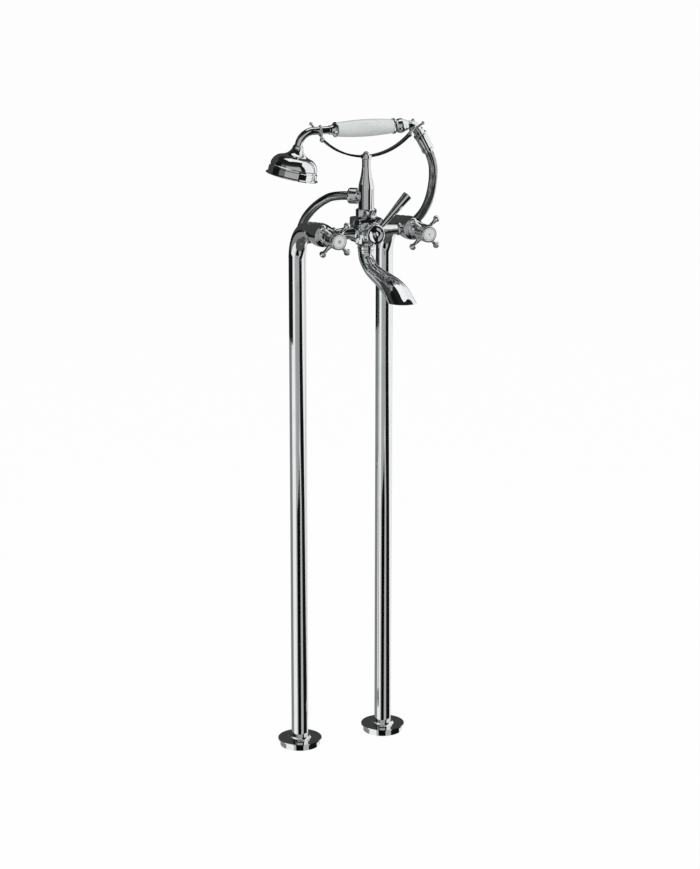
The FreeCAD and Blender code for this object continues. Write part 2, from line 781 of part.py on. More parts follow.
def spout():
    """Swivelling spout: spigot, bead, bend and a horn cut flat at its nose and mouth."""
    horn = lofted(spout_sections(0))
    bead_low = spout_top - spout_bead_height
    bead = turned([
        (0, bead_low), (spout_bead_radius - 0.9, bead_low), (spout_bead_radius, bead_low + 0.9),
        (spout_bead_radius, spout_top - 0.9), (spout_bead_radius - 0.9, spout_top), (0, spout_top),
    ], (0, mixer_y, 0))
    stem = cylinder(spigot_radius, spout_top, spout_spigot_top, (0, mixer_y, 0))
    whole = joined([horn, bead, stem])
    nose_y, nose_z = nose_top
    foot_y, foot_z = nose_foot
    rise = nose_z - foot_z
    back_z = mouth_back[1] - (mixer_y - mouth_back[0]) * (foot_z - mouth_back[1]) / (mouth_back[0] - foot_y)
    outline = [(nose_y + (nose_y - foot_y), nose_z + rise), (foot_y, foot_z), mouth_back, (mixer_y, back_z),
               (mixer_y, mouth_height - trim_depth), (foot_y - trim_depth, mouth_height - trim_depth),
               (foot_y - trim_depth, nose_z + rise)]
    points = [Vec(-half_centres, y, z) for y, z in outline]
    trim = Part.Face(Part.makePolygon(points + points[:1])).extrude(Vec(pipe_centres, 0, 0))
    waterway = lofted(spout_sections(spout_wall)[:-horn_filled_stations])
    riser = cylinder(arm_bore_radius, bead_low - 1, spout_spigot_top, (0, mixer_y, 0))
    mouth = cylinder(mouth_bore_radius, mouth_height, mouth_height + mouth_bore_depth, mouth_at)
    for tool in [trim, Part.makeCompound(seal_rings()), waterway, riser, mouth]:
        whole = whole.cut(tool)
    return whole


def spout_seals():
    """Two rings in the spigot's grooves."""
    return Part.makeCompound(seal_rings())


def aerator():
    """Round insert in the mouth with a ring of slots."""
    low = mouth_height + aerator_recess
    top = mouth_height + mouth_bore_depth
    insert = turned([
        (0, low + 1.2), (mouth_bore_radius - 3, low + 1.2), (mouth_bore_radius - 2.4, low),
        (mouth_bore_radius, low), (mouth_bore_radius, top), (0, top),
    ], mouth_at)
    holes = []
    for radius, count in ((4.0, 6), (8.6, 12)):
        for n in range(count):
            angle = 2 * math.pi * n / count
            at = (radius * math.cos(angle), mouth_at[1] + radius * math.sin(angle), 0)
            holes.append(cylinder(0.9, low, top, at))
    return insert.cut(Part.makeCompound(holes))


# ---------------------------------------------------------------- handset
def rolled(shape):
    """Leans a handset piece about the handle's axis."""
    leaning = shape.copy()
    leaning.rotate(Vec(0, mixer_y, handset_axis_z), Vec(1, 0, 0), handset_roll)
    return leaning


def ceramic_handle():
    """Barrel-shaped porcelain grip over the core tube."""
    middle = (handle_front + handle_back) / 2
    return turned([
        (core_radius, handle_front), (ceramic_end_radius - 0.8, handle_front),
        (ceramic_end_radius, handle_front + 0.8),
        ((ceramic_middle_radius, middle), (ceramic_end_radius, handle_back - 0.8)),
        (ceramic_end_radius - 0.8, handle_back), (core_radius, handle_back),
    ], handset_at, (1, 0, 0))


def handset_core():
    """Brass tube through the grip, from one ferrule to the other."""
    return ring(core_radius, core_bore_radius, core_front, core_back, handset_at, (1, 0, 0))


def front_ferrule():
    """Flared ferrule between the neck and the grip."""
    back = handle_front
    front = handle_front - front_ferrule_length
    return turned([
        (core_radius, core_front), (core_radius, back), (front_ferrule_radius - 1.6, back),
        (front_ferrule_radius, back - 1.4), (front_ferrule_radius, back - 2.6),
        ((front_ferrule_radius - 3.2, back - 5.6), (neck_radius + 0.9, back - 9.4)),
        (neck_radius + 0.9, front), (neck_radius, front), (neck_radius, core_front),
    ], handset_at, (1, 0, 0))


def handset_neck():
    """Tube that runs level and then bends down into the spray head's socket."""
    turn = math.radians(90 - spray_tilt)
    half = turn / 2
    start = Vec(core_front, mixer_y, handset_axis_z)
    bend = Vec(neck_bend_start, mixer_y, handset_axis_z)
    middle = Vec(neck_bend_start - neck_bend_radius * math.sin(half), mixer_y,
                 handset_axis_z - neck_bend_radius * (1 - math.cos(half)))
    knee = Vec(neck_end[0], mixer_y, neck_end[1])
    tip = knee - Vec(*head_axis) * (rose_head_drop - head_neck_level)
    path = Part.Wire([
        Part.makeLine(start, bend),
        Part.Arc(bend, middle, knee).toShape(),
        Part.makeLine(knee, tip),
    ])
    return swept(path, neck_radius).cut(swept(path, neck_bore_radius))


def head_outline(inset):
    """Upper half of the spray head, from the groove to the collar, as heights above the rim."""
    return [
        (head_groove_radius - inset, head_groove_height - inset * 0.6),
        (head_groove_radius + 0.5 - inset, head_groove_height + 1.2 - inset * 0.6),
        ((33.0 - inset * 0.8, 23.4 - inset * 0.5), (26.2 - inset * 0.4, 29.8 - inset)),
        (20.6 - inset * 0.2, 31.7 - inset),
        ((12.2 - inset * 0.7, 37.0 - inset * 0.7), (8.6 - inset * 1.6, 43.4)),
    ]


def rose_shell():
    """Bell of the spray head: band, groove, domed shoulder and flared collar."""
    outer = head_outline(0)
    inner = head_outline(head_wall)
    band_in = head_band_radius - head_wall
    outline = [(band_in, head_plate_top), (head_band_radius, head_plate_top),
               (head_band_radius, head_band_height), (head_groove_radius, head_band_height + 1.0)]
    outline += outer
    outline += [(neck_radius + 1.9, head_top - 1.4), (neck_radius + 0.8, head_top)]
    core = turned(outline + [(0, head_top), (0, head_plate_top)], head_at, head_axis)
    hollow = [(band_in, head_plate_top), (band_in, head_band_height), (inner[0][0], head_band_height + 1.0)]
    hollow += inner
    hollow += [(neck_bore_radius, head_neck_level), (0, head_neck_level)]
    cavity = turned(hollow + [(0, head_plate_top)], head_at, head_axis)
    socket = cylinder(neck_radius, head_neck_level, head_top, head_at, head_axis)
    return core.cut(cavity).cut(socket)


def rose_ring():
    """Screwed ring with the flared rim that holds the spray plate."""
    inner = head_plate_radius
    return turned([
        (inner, 0), (head_rim_radius - 0.5, 0), (head_rim_radius, 0.5), (head_rim_radius, head_rim_thickness),
        (head_band_radius, head_rim_thickness + 1.4), (head_band_radius, head_plate_top),
        (inner - 1.2, head_plate_top), (inner - 1.2, spray_plate_thickness + 0.4),
        (inner, spray_plate_thickness + 0.4),
    ], head_at, head_axis)


def spray_plate():
    """Slightly sunk plate with rings of spray holes."""
    low = 0.4
    plate = cylinder(head_plate_radius, low, low + spray_plate_thickness)
    holes = []
    for radius, count in plate_hole_rings:
        for n in range(count):
            angle = 2 * math.pi * n / count
            at = (radius * math.cos(angle), radius * math.sin(angle), 0)
            holes.append(cylinder(plate_hole_radius, low, low + spray_plate_thickness, at))
    return placed(plate.cut(Part.makeCompound(holes)), head_at, head_axis)


def rear_ferrule():
    """Turned ferrule behind the grip: flared ring, waist and barrel."""
    start = handle_back
    return turned([
        (core_radius, start), (rear_ferrule_radius - 0.9, start), (rear_ferrule_radius, start + 0.9),
        (rear_ferrule_radius, start + 3.2),
        ((rear_ferrule_radius - 2.6, start + 5.2), (rear_ferrule_radius - 2.0, start + 8.0)),
        ((rear_ferrule_radius - 0.6, start + 13.6), (rear_ferrule_radius - 2.6, start + 19.6)),
        (tail_radius + 1.0, rear_ferrule_end), (tail_radius, rear_ferrule_end),
        (tail_radius, core_back), (core_radius, core_back),
    ], handset_at, (1, 0, 0))


def tail_point(along):
    """Point on the tail's straight lower leg, past the bend."""
    return (tail_leg[0] + along * tail_axis[0], mixer_y, tail_leg[1] + along * tail_axis[2])


def handset_tail():
    """Bent tube with a socket for the hose nut."""
    turn = math.radians(tail_drop_angle)
    half = turn / 2
    start = Vec(core_back, mixer_y, handset_axis_z)
    bend = Vec(tail_bend_start, mixer_y, handset_axis_z)
    middle = Vec(tail_bend_start + tail_bend_radius * math.sin(half), mixer_y,
                 handset_axis_z - tail_bend_radius * (1 - math.cos(half)))
    leg = Vec(*tail_point(0))
    foot = Vec(*tail_point(tail_socket_length))
    path = Part.Wire([
        Part.makeLine(start, bend),
        Part.Arc(bend, middle, leg).toShape(),
        Part.makeLine(leg, foot),
    ])
    socket = cylinder(tail_socket_radius, 1.5, tail_socket_length, tail_point(0), tail_axis)
    thread = cylinder(tail_thread_radius, 0, tail_thread_length, tail_point(tail_socket_length), tail_axis)
    bore = cylinder(core_bore_radius, 0, tail_socket_length + tail_thread_length, tail_point(0), tail_axis)
    return joined([swept(path, tail_radius), socket, thread]).cut(swept(path, core_bore_radius)).cut(bore)


def hose_nut():
    """Conical swivel nut on the tail, narrowing towards the hose."""
    end = hose_nut_length
    socket = end - hose_nut_socket
    return turned([
        (tail_thread_radius, 0), (hose_nut_top_radius - 1.2, 0), (hose_nut_top_radius, 1.2),
        (hose_nut_top_radius, 4.4), (hose_nut_top_radius - 0.8, 5.4),
        (hose_nut_end_radius, end - 6.2), (hose_nut_end_radius + 0.6, end - 5.4),
        (hose_nut_end_radius + 0.6, end - 1), (hose_nut_end_radius - 0.2, end), (hose_radius, end),
        (hose_radius, socket), (hose_bore_radius, socket), (hose_bore_radius, tail_thread_length),
        (tail_thread_radius, tail_thread_length),
    ], tail_point(tail_socket_length), tail_axis)


# ---------------------------------------------------------------- hose
def hose_wire(points, share):
    """Straight runs joined by tangent arcs, each as large as its shorter run allows."""
    edges = []
    radii = []
    last = points[0]
    for before, corner, after in zip(points, points[1:], points[2:]):
        back = before - corner
        ahead = after - corner
        setback = share * min(back.Length, ahead.Length)
        turn = math.pi - back.getAngle(ahead)
        radius = setback / math.tan(turn / 2)
        back.normalize()
        ahead.normalize()
        arc_start = corner + back * setback
        arc_end = corner + ahead * setback
        bisector = back + ahead
        bisector.normalize()
        depth = radius / math.cos(turn / 2) - radius
        edges.append(Part.makeLine(last, arc_start))
        edges.append(Part.Arc(arc_start, corner + bisector * depth, arc_end).toShape())
        radii.append(round(radius, 1))
        last = arc_end
    edges.append(Part.makeLine(last, points[-1]))
    return Part.Wire(edges), radii


def outlet_point(along):
    """Point on the outlet's axis."""
    return Vec(*outlet_at) + Vec(*outlet_axis) * along


def nut_point(along):
    """Point on the swivel nut's axis, measured from its upper face, in the leaning handset."""
    roll = FreeCAD.Rotation(Vec(1, 0, 0), handset_roll)
    pivot = Vec(*handset_at)
    return pivot + roll.multVec(Vec(*tail_point(tail_socket_length + along)) - pivot)


def hose():
    """One shower hose from the column's outlet, down behind the hot standpipe, to the handset."""
    outlet_end = outlet_nut_start + outlet_nut_length
    route = [outlet_point(outlet_end - outlet_nut_socket), outlet_point(outlet_end + hose_lead_out)]
    route += [Vec(*point) for point in hose_route]
    route += [nut_point(hose_nut_length + hose_lead_in), nut_point(hose_nut_length - hose_nut_socket)]
    wire, radii = hose_wire(route, hose_corner_share)
    tube = swept(wire, hose_radius)
    section = math.pi * hose_radius ** 2
    print("hose bend radii", radii)
    print("hose length", round(wire.Length, 1), "volume over section times length",
          round(tube.Volume / (section * wire.Length), 5))
    return tube


def hose_tie():
    """Strap round the two passes of the hose behind the hot standpipe."""
    first = Vec(*tie_points[0])
    second = Vec(*tie_points[1])
    outline = []
    for grow in (tie_thickness, 0):
        radius = hose_radius + tie_slack + grow
        rods = [Part.makeCylinder(radius, tie_width, point) for point in (first, second)]
        along = second - first
        across = Vec(-along.y, along.x, 0)
        across.normalize()
        corners = [first + across * radius, second + across * radius,
                   second - across * radius, first - across * radius]
        slab = Part.Face(Part.makePolygon(corners + corners[:1])).extrude(Vec(0, 0, tie_width))
        outline.append(joined(rods + [slab]))
    return outline[0].cut(outline[1])


# ---------------------------------------------------------------- places worked out from the dimensions
chamber_inlet_radius = 10.4
union_seat = leg_reach + union_seat_depth
union_end = leg_reach + union_nut_length
chamber_seat = 84.0
cartridge_start = chamber_seat
cartridge_neck_radius = 7.6
bonnet_face = chamber_end + bonnet_length
bonnet_end = bonnet_face + bonnet_neck_length
column_tail_end = body_top - 9
column_foot = body_top + column_nut_height
column_nut_turn = 20.0
spout_top = body_neck_end - collar_height - seat_gap
spout_spigot_top = spout_top + spout_spigot_length
seal_levels = (spout_top + 3.0, spout_top + 8.4)
hub_start = body_half + boss_length + seat_gap
lever_start = 8.0
hub_middle = hub_start + hub_length * 0.48
lever_origin = (0, mixer_y - hub_middle, valve_height)
lever_axis = (math.sin(math.radians(lever_angle)), 0, math.cos(math.radians(lever_angle)))
outlet_at = (0, mixer_y, outlet_height)
outlet_axis = (-math.cos(math.radians(outlet_turn)), math.sin(math.radians(outlet_turn)), 0)
cradle_boss_top = column_top + cradle_thickness + 0.8
stud_top = cradle_boss_top + 3.0
knuckle_height = column_top + cradle_rise + 1.2
fork_root_x = 75.0
horn_stations = (
    (-117.5, 799.6, 14, 11.8), (-140.0, 795.0, 11, 13.0), (-163.0, 790.4, 14, 14.8),
    (-183.0, 785.8, 24, 16.9), (-200.5, 778.4, 37, 18.6), (-216.0, 767.4, 42, 19.6),
    (-231.0, 754.5, 43, 20.0),
)
horn_filled_stations = 2
mouth_at = (0, -212.0, 0)
handset_at = (0, mixer_y, handset_axis_z)
core_front = handle_front - 6
core_back = handle_back + 12
tilt = math.radians(spray_tilt)
head_axis = (math.sin(tilt), 0, math.cos(tilt))
neck_end = (neck_bend_start - neck_bend_radius * math.cos(tilt),
            handset_axis_z - neck_bend_radius * (1 - math.sin(tilt)))
head_neck_level = rose_head_drop - 5.4
head_top = rose_head_drop - 1.6
head_at = (neck_end[0] - rose_head_drop * head_axis[0], mixer_y, neck_end[1] - rose_head_drop * head_axis[2])
head_plate_top = 4.2
head_plate_radius = head_band_radius - 1.6
tail_turn = math.radians(tail_drop_angle)
tail_axis = (math.cos(tail_turn), 0, -math.sin(tail_turn))
tail_leg = (tail_bend_start + tail_bend_radius * math.sin(tail_turn),
            handset_axis_z - tail_bend_radius * (1 - math.cos(tail_turn)))
hose_route = (
    (-51.5, -41.5, 900.0), (-59.0, -18.0, 883.0),
    (-61.5, 6.0, 863.0), (-62.0, 24.0, 834.0), (-62.4, 28.0, 790.0), (-62.9, 27.2, 700.0),
    (-62.4, 28.2, 600.0), (-61.9, 28.4, 528.0), (-62.5, 28.4, 450.6), (-50.8, 54.9, 421.5),
    (-34.0, 92.8, 421.5), (-22.3, 119.3, 450.6), (-25.0, 113.2, 540.0), (-39.0, 81.0, 650.0),
    (-52.4, 51.2, 715.0), (-54.0, 47.6, 779.9), (-42.3, 74.1, 809.3), (-25.7, 111.6, 809.6),
    (0.0, 127.8, 809.0), (60.0, 129.4, 810.0), (101.0, 114.0, 813.0), (122.0, 73.0, 822.0),
    (125.0, 20.0, 838.0), (123.5, -30.0, 862.0), (120.0, -66.0, 892.0), (116.6, -87.0, 930.0),
)
tie_points = ((-62.6, 27.7, tie_height), (-53.5, 48.8, tie_height))

# ---------------------------------------------------------------- writing the pieces
for name, side in (("left", -1), ("right", 1)):
    x = side * half_centres
    write(name + "_base_plate", base_plate(x))
    write(name + "_floor_rose", floor_rose(x))
    write(name + "_standpipe", standpipe(x))
    write(name + "_union_nut", union_nut(x))
    write(name + "_valve_chamber", valve_chamber(x, side))
    write(name + "_arm", arm(side))
    write(name + "_bonnet", bonnet(x))
    write(name + "_cartridge", cartridge(x))
    write(name + "_spindle", spindle(x))
    write(name + "_cross_handle", cross_handle(x))
    write(name + "_handle_screw", handle_screw(x))
    write(name + "_bezel", bezel(x))
    write(name + "_index_disc", index_disc(x))
    write(name + "_fork", fork(side))
write("rose_seals", Part.makeCompound([rose_seal(-half_centres), rose_seal(half_centres)]), 2)
write("union_washers", Part.makeCompound([union_washer(-half_centres), union_washer(half_centres)]), 2)
write("arm_rings", Part.makeCompound([arm_ring(-1), arm_ring(1)]), 2)
write("centre_body", centre_body())
write("diverter_boss", diverter_boss())
write("diverter_cartridge", diverter_cartridge())
write("diverter_spindle", diverter_spindle())
write("diverter_hub", diverter_hub())
write("diverter_lever", placed(lever_rod(), lever_origin, lever_axis))
write("diverter_button", diverter_button())
write("column_nut", column_nut())
write("column", column())
write("outlet_nut", outlet_nut())
write("cradle_bar", cradle_bar())
write("cradle_cap_nut", cradle_cap_nut())
write("spout_collar", spout_collar())
write("spout", spout())
write("spout_seals", spout_seals(), 2)
write("aerator", aerator())
write("ceramic_handle", rolled(ceramic_handle()))
write("handset_core", rolled(handset_core()))
write("front_ferrule", rolled(front_ferrule()))
write("handset_neck", rolled(handset_neck()))
write("rose_shell", rolled(rose_shell()))
write("rose_ring", rolled(rose_ring()))
write("spray_plate", rolled(spray_plate()))
write("rear_ferrule", rolled(rear_ferrule()))
write("handset_tail", rolled(handset_tail()))
write("hose_nut", rolled(hose_nut()))
write("hose", hose())
write("hose_tie", hose_tie())
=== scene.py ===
"""Floor standing bath filler, dressed for rendering.

Metres, in the CAD model's own frame: origin on the floor midway between the standpipes,
+Z up, -Y towards the bath, -X the hot side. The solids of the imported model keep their
shape; this file gives them their finishes, makes the hose and the spray holes' rims, and
sets up the studio and the camera.
"""

import json
import math

import bpy
from bpy.props import FloatProperty, FloatVectorProperty, IntProperty, PointerProperty
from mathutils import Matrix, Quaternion, Vector


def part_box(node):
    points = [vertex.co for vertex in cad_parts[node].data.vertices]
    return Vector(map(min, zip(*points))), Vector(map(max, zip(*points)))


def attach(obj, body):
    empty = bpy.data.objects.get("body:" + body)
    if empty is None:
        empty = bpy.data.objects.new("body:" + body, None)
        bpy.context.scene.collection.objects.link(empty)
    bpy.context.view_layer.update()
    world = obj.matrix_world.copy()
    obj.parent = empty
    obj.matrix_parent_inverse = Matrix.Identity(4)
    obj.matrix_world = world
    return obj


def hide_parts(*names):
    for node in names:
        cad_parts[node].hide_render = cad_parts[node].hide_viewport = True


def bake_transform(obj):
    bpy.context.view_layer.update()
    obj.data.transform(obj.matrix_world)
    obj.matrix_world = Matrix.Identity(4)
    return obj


bl_info = {
    "name": "Floor standing bath filler",
    "version": (1, 0, 0),
    "blender": (4, 5, 0),
    "location": "3D View > Sidebar > Bath filler",
    "description": "Finishes, hose and studio for a floor standing bath filler",
    "category": "Object",
}

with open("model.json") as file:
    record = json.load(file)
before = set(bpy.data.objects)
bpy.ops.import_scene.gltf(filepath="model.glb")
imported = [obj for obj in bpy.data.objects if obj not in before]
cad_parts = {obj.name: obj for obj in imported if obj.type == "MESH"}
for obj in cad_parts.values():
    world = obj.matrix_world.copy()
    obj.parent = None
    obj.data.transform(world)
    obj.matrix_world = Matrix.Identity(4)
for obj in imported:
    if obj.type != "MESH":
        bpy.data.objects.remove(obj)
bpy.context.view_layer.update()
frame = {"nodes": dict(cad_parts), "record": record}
nodes = frame["nodes"]

MM = 0.001

# The hose's route, in metres: the same points as the CAD tube's.
HOSE_ROUTE = (
    (-0.01762, -0.07622, 0.9108), (-0.03846, -0.05873, 0.9108), (-0.0515, -0.0415, 0.9),
    (-0.059, -0.018, 0.883), (-0.0615, 0.006, 0.863), (-0.062, 0.024, 0.834),
    (-0.0624, 0.028, 0.79), (-0.0629, 0.0272, 0.7), (-0.0624, 0.0282, 0.6),
    (-0.0619, 0.0284, 0.528), (-0.0625, 0.0284, 0.4506), (-0.0508, 0.0549, 0.4215),
    (-0.034, 0.0928, 0.4215), (-0.0223, 0.1193, 0.4506), (-0.025, 0.1132, 0.54),
    (-0.039, 0.081, 0.65), (-0.0524, 0.0512, 0.715), (-0.054, 0.0476, 0.7799),
    (-0.0423, 0.0741, 0.8093), (-0.0257, 0.1116, 0.8096), (0.0, 0.1278, 0.809),
    (0.06, 0.1294, 0.81), (0.101, 0.114, 0.813), (0.122, 0.073, 0.822),
    (0.125, 0.02, 0.838), (0.1235, -0.03, 0.862), (0.12, -0.066, 0.892),
    (0.1166, -0.087, 0.93), (0.11459, -0.08721, 0.96077), (0.09965, -0.08894, 0.98557),
)

# Steps of the spline from one of the route's points to the next, and of the tube's wall in
# one turn of the wound strip.
HOSE_LINE_STEPS = 24
STEPS_PER_TURN = 4

# Rings of holes in the spray plate: radius in millimetres and how many.
SPRAY_RINGS = ((7.0, 6), (14.0, 12), (21.0, 20), (28.0, 28))
# The shower head's tilt and the handset's roll in its forks, in degrees, as the CAD has them.
SPRAY_TILT = 12.2
HANDSET_ROLL = 4.0
SPRAY_PLATE_THICKNESS = 1.8 * MM
# Steps of a rim round its hole, and sides of its round edge.
RIM_STEPS = 14
RIM_SIDES = 6

# Index discs: the enamel's radius, the printed ring's two radii, how far the print's edge
# fades, and the radius of the dot on each.
INDEX_RADIUS = 10.6 * MM
INDEX_RING = (8.2 * MM, 8.8 * MM)
INDEX_FADE = 0.25 * MM
INDEX_DOTS = (("left", "hot", 2.6 * MM), ("right", "cold", 1.4 * MM))

# The span of a noise texture's value over which a colour or a roughness changes.
COLOUR_SPAN = (0.35, 0.65)
GLOSS_SPAN = (0.3, 0.7)
NOISE_ROUGHNESS = 0.55

# The Mix node's colour sockets by number, because its sockets share their names.
MIX_FIRST, MIX_SECOND, MIX_RESULT = 6, 7, 2

# The camera's place in metres and turn in degrees, as solved from the photograph.
CAMERA_PLACE = (-1.54397, -3.32879, 1.49060)
CAMERA_TURN = (75.1066, 0.0, -25.1005)
SENSOR_WIDTH = 36.0

# Where the lamps stand and how wide they are, and the point that both aim at.
KEY_LAMP_PLACE, KEY_LAMP_WIDTH = (-0.9, -1.3, 2.9), 1.8
FILL_LAMP_PLACE, FILL_LAMP_WIDTH = (2.2, -1.6, 1.4), 1.6
LAMP_AIM = (0.0, -0.05, 0.7)

# How much of the floor's paint is plain white to the eye.
FLOOR_WHITE_SHARE = 0.96

# Boards round the stand that the chrome mirrors, as (name, light, edges), with the edges as
# (height in metres, heading of the left edge, heading of the right one). Headings are in
# degrees from the camera's own, towards the picture's right.
BOARDS = (
    ("behind_left_grey", 0.26, ((-1.9, -202, -86), (0.15, -202, -86))),
    ("left_middle", 0.5, ((-1.9, -36, -24), (-0.3, -36, -22), (0.45, -36, -22))),
    ("front_dark", 0.004, ((-1.9, -24, 14), (-0.9, -24, 20), (-0.3, -22, 22),
                           (-0.08, -12, 12))),
    ("front_middle", 0.4, ((-0.3, -22, -22), (-0.08, -22, 21), (0.3, -22, 22))),
    ("front_wedge", 0.5, ((-1.9, 14, 58), (-0.9, 20, 52), (-0.3, 24, 42), (-0.12, 25, 28))),
    ("right_dark", 0.008, ((-1.9, 58, 134), (-0.9, 52, 118), (-0.3, 42, 90), (-0.12, 26, 80),
                           (0.1, 22, 67), (0.45, 24, 60))),
    ("high_middle", 0.46, ((0.3, -34, 24), (0.45, -34, 26), (0.9, -34, 38), (2.4, -34, 38))),
    ("high_left_middle", 0.17, ((0.45, -62, -34), (2.4, -62, -34))),
    ("high_front_dark", 0.05, ((2.4, -62, 38), (3.3, -62, 38))),
    ("high_right_dark", 0.01, ((0.45, 26, 60), (0.9, 38, 60), (3.3, 38, 60))),
    ("high_left_dark", 0.008, ((0.15, -100, -62), (3.3, -100, -62))),
    ("low_back_dark", 0.012, ((0.15, -150, -100), (0.7, -150, -100))),
    ("high_back_grey", 0.055, ((0.15, -202, -150), (0.7, -202, -150), (0.7, -202, -100),
                               (3.3, -202, -100))),
)
BOARD_DISTANCE = 2.4
BOARD_STEPS = 48
# The camera's heading, in degrees from +X.
CAMERA_HEADING = -115.1

# Level boards that the chrome mirrors: name, light, lowest corner, highest corner, height.
LEVEL_BOARDS = (
    ("board_overhead", 0.015, (-2.4, -2.4), (1.4, 2.4), 3.25),
    ("board_underfoot", 0.09, (-2.4, -2.4), (2.4, 2.4), -1.9),
    ("light_panel", 1.1, (-0.5, -0.4), (1.4, 0.9), 3.2),
)


# ---------------------------------------------------------------- colours
def srgb(code):
    """Red, green and blue shares of a hex sRGB colour."""
    return tuple(int(code[i:i + 2], 16) / 255 for i in (1, 3, 5))


def linear(colour):
    """A hex sRGB colour, or a user's three sRGB shares, turned to Blender's linear colour."""
    shares = srgb(colour) if isinstance(colour, str) else colour
    return (*(c / 12.92 if c <= 0.04045 else ((c + 0.055) / 1.055) ** 2.4 for c in shares),
            1.0)


# ---------------------------------------------------------------- settings
class FinishSettings(bpy.types.PropertyGroup):
    """Colours and gloss of the finishes."""

    chrome: FloatVectorProperty(
        name="Chrome", description="Bright chromium plate, sRGB", subtype="COLOR_GAMMA",
        size=3, min=0.0, max=1.0, default=srgb("#E8EAEB"))
    chrome_shade: FloatVectorProperty(
        name="Chrome in shade", description="Plate where it is a little thinner, sRGB",
        subtype="COLOR_GAMMA", size=3, min=0.0, max=1.0, default=srgb("#E3E6E7"))
    chrome_roughness: FloatProperty(
        name="Chrome roughness", description="Roughness of the wiped plate",
        default=0.045, min=0.0, max=1.0, subtype="FACTOR")
    glaze: FloatVectorProperty(
        name="Glaze", description="White glaze of the grip, sRGB", subtype="COLOR_GAMMA",
        size=3, min=0.0, max=1.0, default=srgb("#D9DCDB"))
    enamel: FloatVectorProperty(
        name="Index enamel", description="White enamel of the index discs, sRGB",
        subtype="COLOR_GAMMA", size=3, min=0.0, max=1.0, default=srgb("#DEE0DF"))


class HoseSettings(bpy.types.PropertyGroup):
    """Sizes of the shower hose."""

    length: FloatProperty(
        name="Length", description="Length of the hose", default=1.5, min=0.5, max=3.0,
        unit="LENGTH")
    diameter: FloatProperty(
        name="Diameter", description="Diameter of the hose", default=0.0135, min=0.008,
        max=0.02, unit="LENGTH")
    pitch: FloatProperty(
        name="Winding pitch", description="Distance between two turns of the metal strip",
        default=0.0026, min=0.001, max=0.01, unit="LENGTH")
    groove: FloatProperty(
        name="Groove depth", description="Depth of the groove between two turns",
        default=0.00006, min=0.0, max=0.001, unit="LENGTH")
    sides: IntProperty(
        name="Sides", description="Sides of the round section", default=20, min=8, max=48)


class SpraySettings(bpy.types.PropertyGroup):
    """Sizes of the pressed rims round the spray holes."""

    hole_radius: FloatProperty(
        name="Hole radius", description="Radius of a spray hole", default=0.0008,
        min=0.0003, max=0.002, unit="LENGTH")
    rim_radius: FloatProperty(
        name="Rim radius", description="Radius of the rim's round edge", default=0.00022,
        min=0.00005, max=0.001, unit="LENGTH")


class StudioSettings(bpy.types.PropertyGroup):
    """Light and camera."""

    lens: FloatProperty(
        name="Lens", description="Focal length in millimetres", default=98.66, min=10.0,
        max=300.0)
    key_power: FloatProperty(
        name="Key light", description="Power of the large lamp above", default=26.0,
        min=0.0, max=500.0, unit="POWER")
    fill_power: FloatProperty(
        name="Fill light", description="Power of the lamp on the right", default=9.0,
        min=0.0, max=500.0, unit="POWER")
    surround: FloatProperty(
        name="Surround", description="Strength of the room's even light on matt surfaces",
        default=0.62, min=0.0, max=2.0)
    floor_size: FloatProperty(
        name="Floor", description="Width of the floor", default=60.0, min=4.0, max=100.0,
        unit="LENGTH")


class BathFillerSettings(bpy.types.PropertyGroup):
    """Everything that a user would change."""

    finish: PointerProperty(type=FinishSettings)
    hose: PointerProperty(type=HoseSettings)
    spray: PointerProperty(type=SpraySettings)
    studio: PointerProperty(type=StudioSettings)


# ---------------------------------------------------------------- material helpers
def add_node(tree, kind, settings=None, values=None, links=None):
    """One node with its settings, its sockets' values and the outputs that feed it."""
    node = tree.nodes.new(kind)
    for name, value in (settings or {}).items():
        setattr(node, name, value)
    for name, value in (values or {}).items():
        node.inputs[name].default_value = value
    for name, source in (links or {}).items():
        tree.links.new(source, node.inputs[name])
    return node


def new_material(name):
    """A node material and its empty tree."""
    material = bpy.data.materials.new(name)
    material.use_nodes = True
    material.node_tree.nodes.clear()
    return material, material.node_tree


def object_noise(tree, size, detail=2.0, stretch=(1.0, 1.0, 1.0)):
    """Noise on the object's own coordinates, in blotches of about one size, in metres."""
    place = add_node(tree, "ShaderNodeTexCoord")
    mapping = add_node(tree, "ShaderNodeMapping", values={"Scale": stretch},
                       links={"Vector": place.outputs["Object"]})
    return add_node(tree, "ShaderNodeTexNoise",
                    values={"Scale": 1.0 / size, "Detail": detail,
                            "Roughness": NOISE_ROUGHNESS},
                    links={"Vector": mapping.outputs["Vector"]})


def two_tone(tree, texture, first, second):
    """Blend of two sRGB colours by a texture."""
    low, high = COLOUR_SPAN
    share = add_node(tree, "ShaderNodeMapRange", values={"From Min": low, "From Max": high},
                     links={"Value": texture.outputs["Fac"]})
    mix = add_node(tree, "ShaderNodeMix", settings={"data_type": "RGBA"},
                   values={MIX_FIRST: linear(first), MIX_SECOND: linear(second)},
                   links={"Factor": share.outputs["Result"]})
    return mix.outputs[MIX_RESULT]


